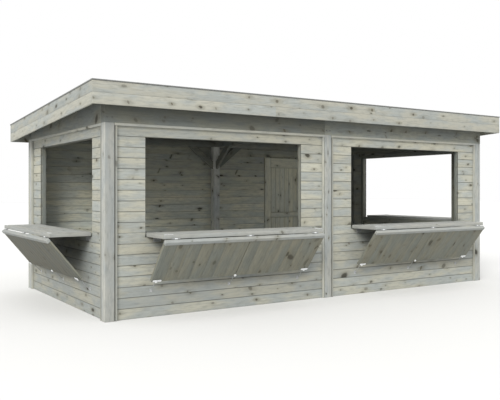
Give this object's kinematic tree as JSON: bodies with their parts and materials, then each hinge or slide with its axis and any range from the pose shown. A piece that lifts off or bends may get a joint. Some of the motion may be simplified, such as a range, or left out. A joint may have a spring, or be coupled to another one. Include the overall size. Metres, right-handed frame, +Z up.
{
  "type": "wooden market stall",
  "caption": "Timber market stall with hinged fold-down counters in its front and ends, a boarded back wall with a door, and a low pent roof.",
  "frame": {"origin": "on the ground, under the middle of the box that holds the whole stall with its counters open", "axes": "+X along the serving front to the right as a customer sees it, +Y from the front to the back wall, +Z up"},
  "size_m": [6.8776, 3.7528, 2.5],
  "materials": {
    "boards": "planed pine boards, pressure treated, weathering grey",
    "posts": "planed pine, rounded edges",
    "trim": "planed pine",
    "fascia": "planed pine",
    "roof_timber": "sawn pine",
    "counters": "planed pine",
    "door": "planed pine",
    "felt": "mineral felt, matt",
    "zinc": "hot-dip galvanised, dull"
  },
  "bodies": {
    "stall": {"front_left_post": "posts", "front_centre_post": "posts", "front_right_post": "posts", "back_left_post": "posts", "back_centre_post": "posts", "back_right_post": "posts", "front_header": "roof_timber", "back_header": "roof_timber", "side_headers": "roof_timber", "centre_beam": "roof_timber", "knee_braces": "roof_timber", "front_left_panel": "boards", "front_right_panel": "boards", "left_panel": "boards", "right_panel": "boards", "panel_battens": "trim", "back_wall": "boards", "door_casing": "trim", "door_hinge_pins": "zinc", "counter_hinge_pins": "zinc", "cabin_hooks": "zinc", "rafters": "roof_timber", "roof_deck": "roof_timber", "roof_felt": "felt", "front_fascia": "fascia", "back_fascia": "fascia", "side_fascias": "fascia"},
    "door": {"door_leaf": "door", "door_irons": "zinc"},
    "front_left_counter": {"front_left_counter": "counters", "front_left_counter_irons": "zinc"},
    "front_left_leg": {"front_left_leg": "counters", "front_left_leg_irons": "zinc"},
    "front_right_counter": {"front_right_counter": "counters", "front_right_counter_irons": "zinc"},
    "front_right_leg": {"front_right_leg": "counters", "front_right_leg_irons": "zinc"},
    "left_counter": {"left_counter": "counters", "left_counter_irons": "zinc"},
    "left_leg": {"left_leg": "counters", "left_leg_irons": "zinc"},
    "right_counter": {"right_counter": "counters", "right_counter_irons": "zinc"},
    "right_leg": {"right_leg": "counters", "right_leg_irons": "zinc"}
  },
  "joints": [
    {"name": "door_hinge", "type": "hinge", "parent": "stall", "child": "door", "pos_m": [1.924, 1.70388, 1], "axis": [0, 0, -1], "range_deg": [0, 100]},
    {"name": "front_left_counter_hinge", "type": "hinge", "parent": "stall", "child": "front_left_counter", "pos_m": [-1.455, -1.37262, 0.875], "axis": [-1, 0, 0], "range_deg": [0, 90]},
    {"name": "front_left_leg_fold", "type": "hinge", "parent": "front_left_counter", "child": "front_left_leg", "pos_m": [-1.455, -1.84612, 0.875], "axis": [-1, 0, 0], "range_deg": [0, 129.01]},
    {"name": "front_right_counter_hinge", "type": "hinge", "parent": "stall", "child": "front_right_counter", "pos_m": [1.455, -1.37262, 0.875], "axis": [-1, 0, 0], "range_deg": [0, 90]},
    {"name": "front_right_leg_fold", "type": "hinge", "parent": "front_right_counter", "child": "front_right_leg", "pos_m": [1.455, -1.84612, 0.875], "axis": [-1, 0, 0], "range_deg": [0, 129.01]},
    {"name": "left_counter_hinge", "type": "hinge", "parent": "stall", "child": "left_counter", "pos_m": [-2.935, 0.11988, 0.875], "axis": [0, 1, 0], "range_deg": [0, 90]},
    {"name": "left_leg_fold", "type": "hinge", "parent": "left_counter", "child": "left_leg", "pos_m": [-3.4085, 0.11988, 0.875], "axis": [0, 1, 0], "range_deg": [0, 129.01]},
    {"name": "right_counter_hinge", "type": "hinge", "parent": "stall", "child": "right_counter", "pos_m": [2.935, 0.11988, 0.875], "axis": [0, -1, 0], "range_deg": [0, 90]},
    {"name": "right_leg_fold", "type": "hinge", "parent": "right_counter", "child": "right_leg", "pos_m": [3.4085, 0.11988, 0.875], "axis": [0, -1, 0], "range_deg": [0, 129.01]}
  ],
  "couplings": [
    {"joint": "front_left_leg_fold", "follows": "front_left_counter_hinge", "ratio": 1.4333},
    {"joint": "front_right_leg_fold", "follows": "front_right_counter_hinge", "ratio": 1.4333},
    {"joint": "left_leg_fold", "follows": "left_counter_hinge", "ratio": 1.4333},
    {"joint": "right_leg_fold", "follows": "right_counter_hinge", "ratio": 1.4333}
  ]
}
